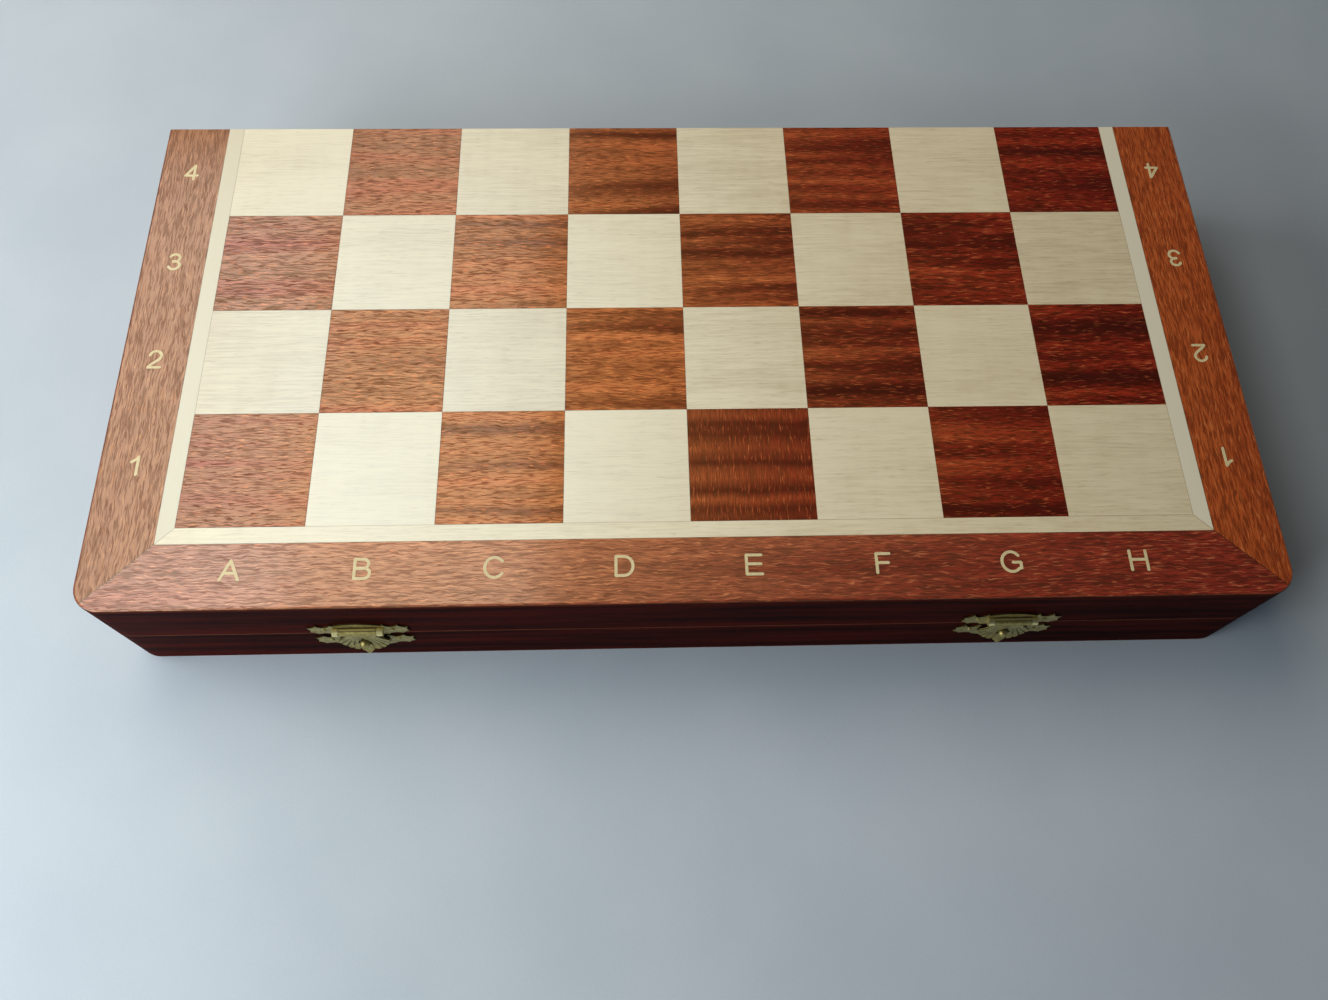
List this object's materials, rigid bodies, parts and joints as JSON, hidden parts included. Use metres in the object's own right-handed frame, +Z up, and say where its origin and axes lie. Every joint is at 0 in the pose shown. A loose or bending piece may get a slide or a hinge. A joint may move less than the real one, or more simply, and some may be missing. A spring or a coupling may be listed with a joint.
{
  "type": "folding chess storage case",
  "caption": "Folding wooden chess case: two hinged trays faced with an inlaid chessboard, felt lined and divided inside, held shut by ornate brass hasp latches.",
  "frame": {"origin": "middle of the closed case's footprint, on the table that it lies on", "axes": "+X along the files from A to H, +Y from the latches back to the hinges, +Z up"},
  "size_m": [0.5154, 0.2646, 0.067],
  "materials": {
    "dark_squares": "satin",
    "border": "satin",
    "maple": "satin",
    "walls": "satin",
    "panel_core": "satin",
    "dividers": "satin",
    "felt": "matte",
    "brass": "satin"
  },
  "bodies": {
    "lower_case": {"lower_panel": "panel_core", "lower_front_wall": "walls", "lower_back_wall": "walls", "lower_left_wall": "walls", "lower_right_wall": "walls", "lower_dark_squares": "dark_squares", "lower_light_squares": "maple", "lower_stringing": "maple", "lower_front_border": "border", "lower_left_border": "border", "lower_right_border": "border", "lower_felt": "felt", "lower_long_divider": "dividers", "lower_cross_dividers": "dividers", "left_hinge_lower_leaf": "brass", "left_hinge_lower_screws": "brass", "left_hinge_pin": "brass", "left_latch_lower_plate": "brass", "left_latch_lower_nails": "brass", "left_latch_ball_stud": "brass", "right_hinge_lower_leaf": "brass", "right_hinge_lower_screws": "brass", "right_hinge_pin": "brass", "right_latch_lower_plate": "brass", "right_latch_lower_nails": "brass", "right_latch_ball_stud": "brass"},
    "upper_case": {"upper_panel": "panel_core", "upper_front_wall": "walls", "upper_back_wall": "walls", "upper_left_wall": "walls", "upper_right_wall": "walls", "upper_dark_squares": "dark_squares", "upper_light_squares": "maple", "upper_stringing": "maple", "upper_front_border": "border", "upper_left_border": "border", "upper_right_border": "border", "upper_felt": "felt", "upper_long_divider": "dividers", "upper_cross_dividers": "dividers", "left_hinge_upper_leaf": "brass", "left_hinge_upper_screws": "brass", "left_latch_upper_plate": "brass", "left_latch_upper_nails": "brass", "left_latch_pin": "brass", "right_hinge_upper_leaf": "brass", "right_hinge_upper_screws": "brass", "right_latch_upper_plate": "brass", "right_latch_upper_nails": "brass", "right_latch_pin": "brass"},
    "hasp_left": {"left_latch_hasp": "brass"},
    "hasp_right": {"right_latch_hasp": "brass"}
  },
  "joints": [
    {"name": "lid_hinge", "type": "hinge", "parent": "lower_case", "child": "upper_case", "pos_m": [0, 0.1286, 0.0335], "axis": [-1, 0, 0], "range_deg": [0, 180]},
    {"name": "left_hasp_hinge", "type": "hinge", "parent": "upper_case", "child": "hasp_left", "pos_m": [-0.1452, -0.1306, 0.0408], "axis": [-1, 0, 0], "range_deg": [0, 170]},
    {"name": "right_hasp_hinge", "type": "hinge", "parent": "upper_case", "child": "hasp_right", "pos_m": [0.1424, -0.1306, 0.0408], "axis": [-1, 0, 0], "range_deg": [0, 170]}
  ]
}
